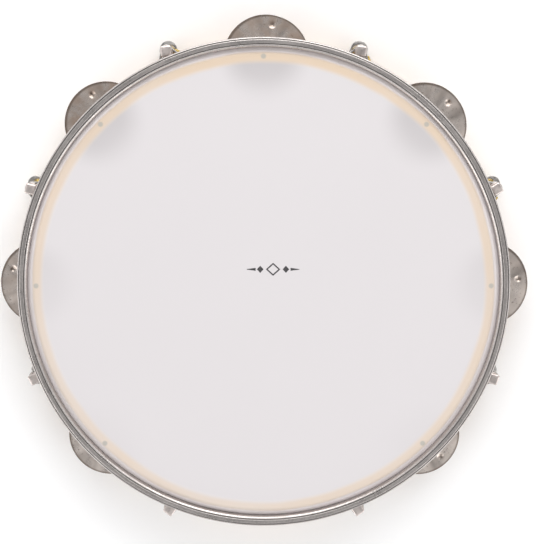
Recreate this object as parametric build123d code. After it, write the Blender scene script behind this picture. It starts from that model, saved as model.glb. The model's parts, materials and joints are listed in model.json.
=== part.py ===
from build123d import *
import math
import os

# A tunable frame drum with jingles, lying with its head upward.
# Millimetres. The origin is the centre of the shell's lower rim, +Z points through the head,
# and +Y points away from the solid stretch of shell that the hand holds.

# Stations round the shell
STATION_PITCH = 45.0
HAND_HOLD_STATION = 6
BOLT_COUNT = 8

# Shell, a bent wooden hoop
SHELL_HEIGHT = 50.0
SHELL_RADIUS = 150.5
SHELL_WALL = 7.0
SHELL_BORE = SHELL_RADIUS - SHELL_WALL
EDGE_ROUND = 3.4
EDGE_CHAMFER = 2.2
RIM_ROUND = 1.2

# Slots for the jingles
SLOT_WIDTH = 62.0
SLOT_HEIGHT = 15.0
SLOT_FLOOR = 19.5
SLOT_CORNER = 3.0

# Jingle pins, pushed in from the bearing edge
PIN_CIRCLE = 147.0
PIN_RADIUS = 1.6
PIN_BOTTOM = 8.0
PIN_TOP = SHELL_HEIGHT - 0.2
PIN_FIT = 0.03

# Jingles, dished plates with a raised cup round the hole
JINGLE_RADIUS = 27.5
JINGLE_SHEET = 0.8
JINGLE_HOLE = 4.2
JINGLE_CUP_TOP = 8.5
JINGLE_CUP_FOOT = 11.5
JINGLE_DISH = 0.9
JINGLE_HEIGHT = 3.2
JINGLE_GAP = 0.1
REST_GAP = 0.05

# Where each loose upper jingle lies off its pin, outward and along the shell, by station
JINGLE_SHIFTS = {
    1: (0.1, -2.3),
    2: (-0.5, -2.2),
    3: (-0.8, -2.2),
    4: (-1.9, -0.8),
    5: (-0.5, 1.8),
    6: (-1.0, 0.6),
    7: (-0.5, -0.4),
}
LOWER_SHIFT_SHARE = 0.6

# Head, a clear film crimped into a metal flesh hoop
FILM_THICKNESS = 0.3
FILM_COLLAR_GAP = 0.3
FILM_SLOPE = 42.0
FILM_COLLAR_RADIUS = 152.9
FLESH_HOOP_HEIGHT = 4.0
FLESH_HOOP_BOTTOM = 42.4
FLESH_HOOP_RADIUS = 155.3

# Tension hoop, a rolled steel band with a rounded bead on top
BEAD_INNER = 152.8
BEAD_OUTER = 159.2
BEAD_BOTTOM = 46.5
BEAD_SHOULDER = 50.6
HOOP_TOP = 53.0
BEAD_EDGE_ROUND = 0.8
GROOVE_RADIUS = 157.9
GROOVE_WIDTH = 0.7
GROOVE_DEPTH = 0.5
BAND_INNER = 155.7
BAND_OUTER = 157.5
BAND_BOTTOM = 35.0

# Ears, bent straps brazed to the band
BOLT_CIRCLE = 162.6
EAR_STRAP = 1.4
EAR_BORE = 2.9
EAR_FOOT = 7.5
EAR_BOTTOM = 33.5
EAR_TOP = 40.5
BRAZE_ALONG_LEG = 0.95
BRAZE_ALONG_BAND = 2.6
WELD_GAP = 0.02

# Square-head tension bolts
BOLT_RADIUS = 2.5
BOLT_BOTTOM = 1.5
FLANGE_RADIUS = 3.9
FLANGE_HEIGHT = 0.95
HEAD_FLATS = 6.6
HEAD_CORNERS = 4.4
HEAD_TOP = 46.1
HEAD_CHAMFER = 0.6
HEAD_TURNS = (8.0, 15.0, -18.0, 10.0, 6.0, -14.0, 12.0, 4.0)

# Brackets on the shell, each with a shelf at its foot and a shouldered nut under the shelf
BRACKET_SHEET = 1.6
BRACKET_WIDTH = 14.0
BRACKET_TOP = 25.0
SHELF_TOP = 9.6
SHELF_END = 164.4
SHELF_RADIUS = 5.6
SHELF_BORE = 4.3
NUT_FLATS = 8.0
NUT_HEIGHT = 4.0
NUT_BORE = BOLT_RADIUS + 0.06
NUT_SHOULDER = 3.7
NUT_SHOULDER_TOP = SHELF_TOP + 0.5

# Bracket screws, each with a domed head
SCREW_HEIGHTS = (14.5, 20.8)
SCREW_RADIUS = 1.6
SCREW_LENGTH = 6.0
SCREW_HEAD_RADIUS = 3.0
SCREW_HEAD_HEIGHT = 1.8
SCREW_SLOT_WIDTH = 0.8
SCREW_SLOT_DEPTH = 0.7


def at_angle(shape, degrees, radius=0.0, height=0.0):
    """Moves a shape out along +X, then turns it round the drum's axis."""
    moved = Pos(radius, 0, height) * shape
    return Rot(0, 0, degrees) * moved


def disc(radius, bottom, top):
    """A round plate on the drum's axis."""
    return Pos(0, 0, (bottom + top) / 2) * Cylinder(radius, top - bottom)


def ring(inner, outer, bottom, top):
    """A plain ring on the drum's axis."""
    return disc(outer, bottom, top) - disc(inner, bottom - 1, top + 1)


def spun(outline):
    """Turns a closed outline, drawn in X and Z, round the drum's axis."""
    return revolve(make_face(outline), Axis.Z, 360)


def jingle_angles():
    """Where the jingle slots stand, leaving out the hand hold."""
    stations = [i for i in range(BOLT_COUNT) if i != HAND_HOLD_STATION]
    return [i * STATION_PITCH for i in stations]


def bolt_angles():
    """Where the tension bolts stand, halfway between the stations."""
    return [(i + 0.5) * STATION_PITCH for i in range(BOLT_COUNT)]


def shell_blank():
    """The bent hoop with its bearing edge and softened lower rim, before any hole is cut."""
    crest_outer = SHELL_RADIUS - EDGE_ROUND
    crest_inner = SHELL_BORE + EDGE_CHAMFER
    round_middle = EDGE_ROUND * math.sqrt(0.5)
    arc_centre_z = SHELL_HEIGHT - EDGE_ROUND
    outline = [
        Line((SHELL_BORE, 0, RIM_ROUND), (SHELL_BORE + RIM_ROUND, 0, 0)),
        Line((SHELL_BORE + RIM_ROUND, 0, 0), (SHELL_RADIUS - RIM_ROUND, 0, 0)),
        Line((SHELL_RADIUS - RIM_ROUND, 0, 0), (SHELL_RADIUS, 0, RIM_ROUND)),
        Line((SHELL_RADIUS, 0, RIM_ROUND), (SHELL_RADIUS, 0, arc_centre_z)),
        ThreePointArc(
            (SHELL_RADIUS, 0, arc_centre_z),
            (crest_outer + round_middle, 0, arc_centre_z + round_middle),
            (crest_outer, 0, SHELL_HEIGHT),
        ),
        Line((crest_outer, 0, SHELL_HEIGHT), (crest_inner, 0, SHELL_HEIGHT)),
        Line((crest_inner, 0, SHELL_HEIGHT), (SHELL_BORE, 0, SHELL_HEIGHT - EDGE_CHAMFER)),
        Line((SHELL_BORE, 0, SHELL_HEIGHT - EDGE_CHAMFER), (SHELL_BORE, 0, RIM_ROUND)),
    ]
    return spun(outline)


def slot_cutter():
    """A rounded window through the wall, at the angle of +X."""
    block = Box(4 * SHELL_WALL, SLOT_WIDTH, SLOT_HEIGHT)
    block = fillet(block.edges().filter_by(Axis.X), SLOT_CORNER)
    return Pos(SHELL_RADIUS, 0, SLOT_FLOOR + SLOT_HEIGHT / 2) * block


def screw_places():
    """Angle and height of every bracket screw."""
    return [(angle, height) for angle in bolt_angles() for height in SCREW_HEIGHTS]


def screw_hole():
    """The hole for one bracket screw, along +X and ending inside the wall."""
    depth = SCREW_LENGTH + PIN_FIT
    middle = SHELL_RADIUS + BRACKET_SHEET - depth / 2
    return Pos(middle, 0, 0) * Rot(0, 90, 0) * Cylinder(SCREW_RADIUS + PIN_FIT, depth)


def make_shell():
    """The wooden shell with its jingle slots, pin holes and screw holes."""
    shell = shell_blank()
    pin_hole_top = SHELL_HEIGHT + 1
    pin_hole = disc(PIN_RADIUS + PIN_FIT, PIN_BOTTOM, pin_hole_top)
    for angle in jingle_angles():
        shell -= at_angle(slot_cutter(), angle)
        shell -= at_angle(pin_hole, angle, PIN_CIRCLE)
    for angle, height in screw_places():
        shell -= at_angle(screw_hole(), angle, 0, height)
    return shell


def make_pin():
    """A plain steel pin that holds a pair of jingles."""
    return disc(PIN_RADIUS, PIN_BOTTOM, PIN_TOP)


def make_jingle():
    """One dished jingle plate, cup upward, with its rim's underside at z = 0."""
    underside = [
        (JINGLE_RADIUS, 0),
        (JINGLE_CUP_FOOT, JINGLE_DISH),
        (JINGLE_CUP_TOP, JINGLE_HEIGHT),
        (JINGLE_HOLE, JINGLE_HEIGHT),
    ]
    topside = [(r, z + JINGLE_SHEET) for r, z in reversed(underside)]
    corners = [(r, 0, z) for r, z in underside + topside]
    return spun(Polyline(*corners, close=True))


def jingle_shift(station, upper):
    """How far a loose jingle lies off its pin, outward and along the shell."""
    share = 1.0 if upper else LOWER_SHIFT_SHARE
    return tuple(share * shift for shift in JINGLE_SHIFTS[station])


def placed_jingle(station, angle, upper):
    """A jingle on its pin: the lower one has its cup down, the upper one its cup up."""
    rim_height = SLOT_FLOOR + REST_GAP + JINGLE_HEIGHT + JINGLE_SHEET
    plate = make_jingle()
    if upper:
        rim_height += JINGLE_GAP
    else:
        plate = Rot(180, 0, 0) * plate
    shift_out, shift_along = jingle_shift(station, upper)
    plate = Pos(shift_out, shift_along, 0) * plate
    return at_angle(plate, angle, PIN_CIRCLE, rim_height)


def make_head_film():
    """The flat film, sloping off the bearing edge to a collar that goes down to the flesh hoop."""
    flat_edge = SHELL_RADIUS - EDGE_ROUND + FILM_COLLAR_GAP
    centre_z = SHELL_HEIGHT - EDGE_ROUND
    slope = math.radians(FILM_SLOPE)

    def side(radius, collar):
        """One side of the film, from its flat edge to the foot of its collar."""
        flat_end = (flat_edge, 0, centre_z + radius)
        halfway = (
            flat_edge + radius * math.sin(slope / 2), 0, centre_z + radius * math.cos(slope / 2)
        )
        slope_start = (flat_edge + radius * math.sin(slope), 0, centre_z + radius * math.cos(slope))
        collar_top = (collar, 0, slope_start[2] - (collar - slope_start[0]) * math.tan(slope))
        foot = (collar, 0, FLESH_HOOP_BOTTOM)
        lines = [
            Line((0, 0, centre_z + radius), flat_end),
            ThreePointArc(flat_end, halfway, slope_start),
            Line(slope_start, collar_top),
            Line(collar_top, foot),
        ]
        return lines, foot

    under, under_foot = side(EDGE_ROUND, FILM_COLLAR_RADIUS - FILM_THICKNESS)
    over, over_foot = side(EDGE_ROUND + FILM_THICKNESS, FILM_COLLAR_RADIUS)
    ends = [
        Line(under_foot, over_foot),
        Line((0, 0, SHELL_HEIGHT), (0, 0, SHELL_HEIGHT + FILM_THICKNESS)),
    ]
    return spun(under + over + ends)


def make_flesh_hoop():
    """The metal ring that the film is crimped into."""
    top = FLESH_HOOP_BOTTOM + FLESH_HOOP_HEIGHT
    return ring(FILM_COLLAR_RADIUS + WELD_GAP, FLESH_HOOP_RADIUS, FLESH_HOOP_BOTTOM, top)


def make_tension_hoop():
    """The rolled hoop: a crowned bead, a fine groove near its edge and a straight band."""
    crown = (BEAD_INNER + BEAD_OUTER) / 2
    outline = [
        Line((BAND_INNER, 0, BAND_BOTTOM), (BAND_OUTER, 0, BAND_BOTTOM)),
        Line((BAND_OUTER, 0, BAND_BOTTOM), (BAND_OUTER, 0, BEAD_BOTTOM)),
        Line((BAND_OUTER, 0, BEAD_BOTTOM), (BEAD_OUTER - BEAD_EDGE_ROUND, 0, BEAD_BOTTOM)),
        Line(
            (BEAD_OUTER - BEAD_EDGE_ROUND, 0, BEAD_BOTTOM),
            (BEAD_OUTER, 0, BEAD_BOTTOM + BEAD_EDGE_ROUND),
        ),
        Line((BEAD_OUTER, 0, BEAD_BOTTOM + BEAD_EDGE_ROUND), (BEAD_OUTER, 0, BEAD_SHOULDER)),
        ThreePointArc(
            (BEAD_OUTER, 0, BEAD_SHOULDER),
            (crown, 0, HOOP_TOP),
            (BEAD_INNER, 0, BEAD_SHOULDER),
        ),
        Line((BEAD_INNER, 0, BEAD_SHOULDER), (BEAD_INNER, 0, BEAD_BOTTOM + BEAD_EDGE_ROUND)),
        Line(
            (BEAD_INNER, 0, BEAD_BOTTOM + BEAD_EDGE_ROUND),
            (BEAD_INNER + BEAD_EDGE_ROUND, 0, BEAD_BOTTOM),
        ),
        Line((BEAD_INNER + BEAD_EDGE_ROUND, 0, BEAD_BOTTOM), (BAND_INNER, 0, BEAD_BOTTOM)),
        Line((BAND_INNER, 0, BEAD_BOTTOM), (BAND_INNER, 0, BAND_BOTTOM)),
    ]
    hoop = spun(outline)
    half_width = GROOVE_WIDTH / 2
    groove_floor = BEAD_SHOULDER + 1.2 - GROOVE_DEPTH
    return hoop - ring(GROOVE_RADIUS - half_width, GROOVE_RADIUS + half_width, groove_floor, HOOP_TOP)


def ear_outline(bore, foot):
    """One side of an ear's strap: straight legs from the band, joined by a half circle."""
    foot_x = BAND_OUTER - 1
    return make_face(
        [
            Line((foot_x, -foot), (BOLT_CIRCLE, -bore)),
            ThreePointArc((BOLT_CIRCLE, -bore), (BOLT_CIRCLE + bore, 0), (BOLT_CIRCLE, bore)),
            Line((BOLT_CIRCLE, bore), (foot_x, foot)),
            Line((foot_x, foot), (foot_x, -foot)),
        ]
    )


def make_ear():
    """A strap bent round the bolt, at the angle of +X."""
    strap = ear_outline(EAR_BORE + EAR_STRAP, EAR_FOOT) - ear_outline(EAR_BORE, EAR_FOOT - EAR_STRAP)
    ear = extrude(strap, EAR_TOP - EAR_BOTTOM)
    ear = Pos(0, 0, EAR_BOTTOM) * ear
    return ear - disc(BAND_OUTER + WELD_GAP, 0, HOOP_TOP)


def make_braze():
    """A wedge of braze in the corner between an ear's leg and the band."""
    foot_x = BAND_OUTER - 1
    leg_end = (BOLT_CIRCLE, EAR_BORE + EAR_STRAP)
    along_x = foot_x + BRAZE_ALONG_LEG * (leg_end[0] - foot_x)
    along_y = EAR_FOOT + BRAZE_ALONG_LEG * (leg_end[1] - EAR_FOOT)
    corners = [
        (foot_x, EAR_FOOT + WELD_GAP),
        (along_x, along_y + WELD_GAP),
        (foot_x, EAR_FOOT + BRAZE_ALONG_BAND),
    ]
    wedge = extrude(make_face(Polyline(*corners, close=True)), EAR_TOP - EAR_BOTTOM - 2)
    wedge = Pos(0, 0, EAR_BOTTOM + 1) * wedge
    return wedge - disc(BAND_OUTER + WELD_GAP, 0, HOOP_TOP)


def make_bolt(head_turn):
    """A tension bolt with a round flange under a square head."""
    flange_bottom = EAR_TOP + REST_GAP
    flange_top = flange_bottom + FLANGE_HEIGHT
    head = Box(HEAD_FLATS, HEAD_FLATS, HEAD_TOP - flange_top)
    head = chamfer(head.faces().sort_by(Axis.Z)[-1].edges(), HEAD_CHAMFER)
    head = Rot(0, 0, head_turn) * Pos(0, 0, (HEAD_TOP + flange_top) / 2) * head
    head &= disc(HEAD_CORNERS, 0, HOOP_TOP)
    shank = disc(BOLT_RADIUS, BOLT_BOTTOM, flange_top)
    shank = chamfer(shank.faces().sort_by(Axis.Z)[0].edges(), BOLT_RADIUS / 4)
    return shank + disc(FLANGE_RADIUS, flange_bottom, flange_top) + head


def make_bracket():
    """An angle bracket: a plate bent to the shell and a round-ended shelf at its foot."""
    plate_inner = SHELL_RADIUS + PIN_FIT
    plate_outer = SHELL_RADIUS + BRACKET_SHEET
    shelf_bottom = SHELF_TOP - BRACKET_SHEET
    plate = ring(plate_inner, plate_outer, shelf_bottom, BRACKET_TOP)
    height = BRACKET_TOP - shelf_bottom
    plate &= Pos(SHELL_RADIUS, 0, shelf_bottom + height / 2) * Box(20, BRACKET_WIDTH, height)
    shelf_middle = (SHELF_TOP + shelf_bottom) / 2
    arm_inner = SHELL_RADIUS + BRACKET_SHEET / 2
    arm_length = SHELF_END - arm_inner
    arm = Box(arm_length, 2 * SHELF_RADIUS, BRACKET_SHEET)
    arm = Pos(arm_inner + arm_length / 2, 0, shelf_middle) * arm
    end = Pos(SHELF_END, 0, shelf_middle) * Cylinder(SHELF_RADIUS, BRACKET_SHEET)
    bore = Pos(BOLT_CIRCLE, 0, shelf_middle) * Cylinder(SHELF_BORE, 2 * BRACKET_SHEET)
    bracket = plate + arm + end - bore
    for height in SCREW_HEIGHTS:
        bracket -= Pos(0, 0, height) * screw_hole()
    return bracket


def make_nut():
    """A hexagon nut under the shelf, with a round shoulder that stands in the shelf's hole."""
    corner_radius = NUT_FLATS / math.sqrt(3)
    shelf_bottom = SHELF_TOP - BRACKET_SHEET
    nut = extrude(RegularPolygon(corner_radius, 6), NUT_HEIGHT)
    nut = Pos(0, 0, shelf_bottom - NUT_HEIGHT) * nut
    nut += disc(NUT_SHOULDER, shelf_bottom - 1, NUT_SHOULDER_TOP)
    return nut - disc(NUT_BORE, 0, SHELL_HEIGHT)


def make_screw():
    """A slotted round-head screw, pointing at the drum's axis from +X."""
    face = SHELL_RADIUS + BRACKET_SHEET
    shank = Pos(face - SCREW_LENGTH / 2, 0, 0) * Rot(0, 90, 0) * Cylinder(SCREW_RADIUS, SCREW_LENGTH)
    head = Cylinder(SCREW_HEAD_RADIUS, SCREW_HEAD_HEIGHT)
    head = fillet(head.faces().sort_by(Axis.Z)[-1].edges(), SCREW_HEAD_HEIGHT * 0.8)
    slot = Box(2 * SCREW_HEAD_RADIUS, SCREW_SLOT_WIDTH, SCREW_SLOT_DEPTH)
    head -= Pos(0, 0, (SCREW_HEAD_HEIGHT - SCREW_SLOT_DEPTH) / 2 + 0.01) * slot
    head = Pos(face + SCREW_HEAD_HEIGHT / 2, 0, 0) * Rot(0, 90, 0) * head
    return shank + head


def group(solids):
    """Separate solids that share one node."""
    return Compound(children=[s for shape in solids for s in shape.solids()])


def assembly():
    """Every node of the drum, by name."""
    nodes = {
        "shell": make_shell(),
        "head_film": make_head_film(),
        "flesh_hoop": make_flesh_hoop(),
        "tension_hoop": make_tension_hoop(),
        "hoop_ears": group(at_angle(make_ear(), a) for a in bolt_angles()),
    }
    left_braze = make_braze()
    right_braze = mirror(left_braze, Plane.XZ)
    wedges = [at_angle(b, a) for a in bolt_angles() for b in (left_braze, right_braze)]
    nodes["ear_brazing"] = group(wedges)
    for number, angle in enumerate(bolt_angles(), 1):
        bolt = make_bolt(HEAD_TURNS[number - 1])
        nodes[f"tension_bolt_{number}"] = at_angle(bolt, angle, BOLT_CIRCLE)
        nodes[f"shell_bracket_{number}"] = at_angle(make_bracket(), angle)
    nodes["bracket_nuts"] = group(at_angle(make_nut(), a, BOLT_CIRCLE) for a in bolt_angles())
    nodes["bracket_screws"] = group(at_angle(make_screw(), a, 0, h) for a, h in screw_places())
    for number, angle in enumerate(jingle_angles(), 1):
        nodes[f"jingle_pin_{number}"] = at_angle(make_pin(), angle, PIN_CIRCLE)
        nodes[f"lower_jingle_{number}"] = placed_jingle(number, angle, False)
        nodes[f"upper_jingle_{number}"] = placed_jingle(number, angle, True)
    return nodes


os.makedirs("parts", exist_ok=True)
for node_name, node_shape in assembly().items():
    export_step(node_shape, f"parts/{node_name}.step")
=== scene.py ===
import json
import math

import bmesh
import bpy
from mathutils import Matrix, Vector


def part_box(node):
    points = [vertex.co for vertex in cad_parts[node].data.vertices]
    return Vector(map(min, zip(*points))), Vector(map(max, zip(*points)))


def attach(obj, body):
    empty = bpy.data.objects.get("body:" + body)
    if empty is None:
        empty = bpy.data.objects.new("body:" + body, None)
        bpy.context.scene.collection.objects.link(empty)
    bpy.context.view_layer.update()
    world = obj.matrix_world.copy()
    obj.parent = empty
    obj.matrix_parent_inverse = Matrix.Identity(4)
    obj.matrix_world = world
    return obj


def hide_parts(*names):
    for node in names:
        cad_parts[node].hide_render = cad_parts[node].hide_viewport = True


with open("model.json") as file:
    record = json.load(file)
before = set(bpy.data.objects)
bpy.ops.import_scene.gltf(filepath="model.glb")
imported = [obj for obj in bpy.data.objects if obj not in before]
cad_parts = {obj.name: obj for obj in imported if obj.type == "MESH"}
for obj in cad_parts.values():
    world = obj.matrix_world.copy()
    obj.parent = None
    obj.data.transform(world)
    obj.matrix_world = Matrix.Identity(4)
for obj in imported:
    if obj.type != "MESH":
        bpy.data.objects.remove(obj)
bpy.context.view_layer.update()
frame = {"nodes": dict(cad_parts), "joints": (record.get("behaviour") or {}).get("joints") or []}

bl_info = {
    "name": "Jingled Frame Drum",
    "version": (1, 0, 0),
    "blender": (4, 5, 0),
    "location": "3D View > Sidebar > Drum",
    "description": "Dresses a tunable frame drum with its shell, head, hoop, bolts and jingles",
    "category": "Add Mesh",
}

MM = 0.001
JOINTS = {joint["name"]: joint for joint in frame["joints"]}
STATIONS = sum(name.startswith("jingle_pin_") for name in frame["nodes"])
BOLTS = sum(name.startswith("tension_bolt_") for name in frame["nodes"])
PITCH = math.tau / BOLTS
SHELL_WALL = 7 * MM
BEAD_LIP = 1.7 * MM  # how far the hoop's bead stands out past its band
THREAD_RADIUS = 2.5 * MM
HEAD_TURNS = (8, 15, -18, 10, 6, -14, 12, 4)  # each square head's turn off the tangent, in degrees
TARNISH = (0.3, 0.25, 0.8, 0.9, 0.45, 0.2, 0.25)  # how browned each slot's jingles are
WOOD_GRAIN = (2.4, 520.0)  # features per radian round the shell, and per metre across it
# Beads of braze at one ear, in millimetres: out from the band, and along it.
BRAZE_SPOTS = ((0.7, -8.6), (1.0, -7.7), (1.7, -7.0), (2.5, -6.4), (3.3, -5.9), (0.8, 7.4))


# ---------------- places from the frame

def outer_radius(node):
    """Half the width of a round node."""
    low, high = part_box(node)
    return (high.x - low.x) / 2


def middle(node):
    """The centre of a node's box."""
    low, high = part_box(node)
    return (low + high) / 2


def bolt_axis(number):
    """A point on a bolt's axis, from its joint."""
    return Vector(JOINTS[f"bolt_turn_{number}"]["pos_m"])


# ---------------- node trees

class Tree:
    """A node tree that is being drawn, for geometry or for a finish."""

    def __init__(self, group):
        self.group = group

    def add(self, kind, inputs=None, **settings):
        """Adds a node, sets it up and joins its inputs to sockets or values."""
        node = self.group.nodes.new(kind)
        for key, value in settings.items():
            setattr(node, key, value)
        for key, value in (inputs or {}).items():
            if isinstance(value, bpy.types.NodeSocket):
                self.group.links.new(value, node.inputs[key])
            else:
                node.inputs[key].default_value = value
        return node

    def math(self, operation, *values):
        """The result of a sum on one, two or three values."""
        return self.add("ShaderNodeMath", dict(enumerate(values)), operation=operation).outputs[0]

    def product(self, first, *others):
        """Values multiplied in turn."""
        for other in others:
            first = self.math("MULTIPLY", first, other)
        return first

    def length(self, vector):
        """The length of a vector."""
        return self.add("ShaderNodeVectorMath", {0: vector}, operation="LENGTH").outputs["Value"]

    def scaled(self, vector, factor):
        """A vector times a number."""
        inputs = {0: vector, "Scale": factor}
        return self.add("ShaderNodeVectorMath", inputs, operation="SCALE").outputs[0]

    def joined(self, x=0.0, y=0.0, z=0.0):
        """A vector from three numbers."""
        return self.add("ShaderNodeCombineXYZ", {0: x, 1: y, 2: z}).outputs[0]

    def split(self, vector):
        """The three numbers of a vector."""
        return self.add("ShaderNodeSeparateXYZ", {0: vector}).outputs

    def spread(self, value, low, high, to_low, to_high, interpolation="SMOOTHSTEP"):
        """Carries a value from one range to another, held at both ends."""
        inputs = {0: value, 1: low, 2: high, 3: to_low, 4: to_high}
        return self.add("ShaderNodeMapRange", inputs, interpolation_type=interpolation).outputs[0]


class Shape(Tree):
    """A Geometry Nodes tree with named inputs, the last of them its material."""

    def __init__(self, name, **inputs):
        super().__init__(bpy.data.node_groups.new(name, "GeometryNodeTree"))
        inputs["material"] = "Material"
        sockets = self.group.interface
        sockets.new_socket("Geometry", in_out="INPUT", socket_type="NodeSocketGeometry")
        for label, kind in inputs.items():
            title = label.replace("_", " ").title()
            sockets.new_socket(title, in_out="INPUT", socket_type="NodeSocket" + kind)
        sockets.new_socket("Geometry", in_out="OUTPUT", socket_type="NodeSocketGeometry")
        source = self.group.nodes.new("NodeGroupInput").outputs
        self.base = source["Geometry"]
        self.inputs = {label: source[label.replace("_", " ").title()] for label in inputs}

    def __getitem__(self, label):
        """One of the tree's own inputs."""
        return self.inputs[label]

    def geo(self, kind, inputs=None, **settings):
        """The first output of a new geometry node."""
        return self.add("GeometryNode" + kind, inputs, **settings).outputs[0]

    def circle(self, resolution, radius):
        """A round path or section."""
        inputs = {"Resolution": resolution, "Radius": radius}
        return self.geo("CurvePrimitiveCircle", inputs)

    def sweep(self, path, section, capped=False):
        """A section carried along a path."""
        inputs = {0: path, "Profile Curve": section, "Fill Caps": capped}
        return self.geo("CurveToMesh", inputs)

    def moved(self, geometry, **change):
        """Geometry after a translation, a rotation or a scale."""
        inputs = {"Geometry": geometry, **{key.title(): value for key, value in change.items()}}
        return self.geo("Transform", inputs)

    def round_axis(self, part):
        """Copies of a part at even angles round the axis."""
        index = self.geo("InputIndex")
        turn = self.math("MULTIPLY_ADD", index, self["pitch"], self["first_angle"])
        rotation = self.add("FunctionNodeAxisAngleToRotation", {"Angle": turn}).outputs[0]
        points = self.geo("Points", {"Count": self["count"]})
        inputs = {"Points": points, "Instance": part, "Rotation": rotation}
        return self.geo("InstanceOnPoints", inputs)

    def finish(self, geometry):
        """Ends the tree in real geometry of one material."""
        real = self.geo("RealizeInstances", {"Geometry": geometry})
        inputs = {0: real, "Material": self["material"]}
        dressed = self.add("GeometryNodeSetMaterial", inputs)
        output = self.group.nodes.new("NodeGroupOutput")
        self.group.links.new(dressed.outputs[0], output.inputs[0])
        return self

    def run(self, name, base, **values):
        """Runs the tree on a mesh or curve and returns the result as a plain mesh object."""
        holder = bpy.data.objects.new(name + "_base", base)
        bpy.context.scene.collection.objects.link(holder)
        modifier = holder.modifiers.new("shape", "NODES")
        modifier.node_group = self.group
        for socket in self.group.interface.items_tree:
            key = socket.name.lower().replace(" ", "_")
            if socket.in_out == "INPUT" and key in values:
                modifier[socket.identifier] = values[key]
        mesh = evaluated(holder)
        bpy.data.objects.remove(holder)
        return shown(name, mesh)


# ---------------- mesh work

def shown(name, mesh):
    """Puts a mesh in the scene as an object at the origin."""
    mesh.name = name
    piece = bpy.data.objects.new(name, mesh)
    bpy.context.scene.collection.objects.link(piece)
    return piece


def evaluated(piece):
    """A piece's mesh with its modifiers applied."""
    graph = bpy.context.evaluated_depsgraph_get()
    return bpy.data.meshes.new_from_object(piece.evaluated_get(graph), depsgraph=graph)


def written(work, mesh):
    """Ends a bmesh by writing it into a mesh."""
    work.to_mesh(mesh)
    work.free()
    return mesh


def tidy(mesh, merge=1e-7):
    """Merges doubled points and turns every face outwards."""
    work = bmesh.new()
    work.from_mesh(mesh)
    bmesh.ops.remove_doubles(work, verts=work.verts, dist=merge)
    bmesh.ops.recalc_face_normals(work, faces=work.faces)
    return written(work, mesh)


def soften(mesh, angle=35.0):
    """Shades smoothly over every edge flatter than the angle."""
    mesh.shade_smooth()
    mesh.set_sharp_from_angle(angle=math.radians(angle))
    return mesh


def dress(piece, body, material, slot, *nodes):
    """Gives a finished piece its material and its body, and hides the nodes it stands for. The slot
    is not used.
    """
    if not piece.data.materials:
        piece.data.materials.append(material)
    if nodes:
        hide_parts(*nodes)
    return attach(piece, body)


def loft(loops, closed=False):
    """A closed mesh through equal loops: capped at both ends, or joined end to end."""
    work = bmesh.new()
    rows = [[work.verts.new(point) for point in loop] for loop in loops]
    pairs = list(zip(rows, rows[1:]))
    if closed:
        pairs.append((rows[-1], rows[0]))
    else:
        work.faces.new(rows[0])
        work.faces.new(rows[-1])
    for low, high in pairs:
        for i in range(len(low)):
            j = (i + 1) % len(low)
            work.faces.new((low[i], low[j], high[j], high[i]))
    bmesh.ops.recalc_face_normals(work, faces=work.faces)
    return written(work, bpy.data.meshes.new("loft"))


def joined_meshes(*meshes):
    """One mesh out of several."""
    work = bmesh.new()
    for mesh in meshes:
        work.from_mesh(mesh)
    return written(work, bpy.data.meshes.new("joined"))


def sided_loop(flats, corners, height, sides, steps=64):
    """A loop of a regular section with its corners turned down to a radius."""
    loop = []
    for i in range(steps):
        angle = math.tau * i / steps
        sector = math.tau / sides
        off_flat = (angle + sector / 2) % sector - sector / 2
        radius = min(flats / 2 / math.cos(off_flat), corners)
        loop.append(Vector((radius * math.cos(angle), radius * math.sin(angle), height)))
    return loop


def round_loop(radius, height, steps=64):
    """A level circle."""
    return sided_loop(4 * radius, radius, height, 4, steps)


def outline_curve(name, points, cyclic=True):
    """A flat poly curve for a sweep: first number outwards, second number upwards."""
    curve = bpy.data.curves.new(name, "CURVE")
    curve.dimensions = "3D"
    spline = curve.splines.new("POLY")
    spline.points.add(len(points) - 1)
    for point, (out, up) in zip(spline.points, points):
        point.co = (out, -up, 0, 1)
    spline.use_cyclic_u = cyclic
    return curve


def arc(centre, radius, start, end, steps):
    """Points on an arc, with its angles in degrees."""
    angles = [math.radians(start + (end - start) * i / steps) for i in range(steps + 1)]
    return [(centre[0] + radius * math.cos(a), centre[1] + radius * math.sin(a)) for a in angles]


def turned(outline, segments):
    """A solid turned round the drum's axis from an outline that starts and ends on the axis."""
    work = bmesh.new()
    rows = []
    for radius, height in outline:
        loop = round_loop(radius, height, segments) if radius else [(0, 0, height)]
        rows.append([work.verts.new(point) for point in loop])
    for low, high in zip(rows, rows[1:]):
        for i in range(segments):
            ends = [(low, i), (low, i + 1), (high, i + 1), (high, i)]
            corners = [row[at % len(row)] for row, at in ends]
            work.faces.new(list(dict.fromkeys(corners)))
    bmesh.ops.recalc_face_normals(work, faces=work.faces)
    return written(work, bpy.data.meshes.new("turned"))


# ---------------- finishes

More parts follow.
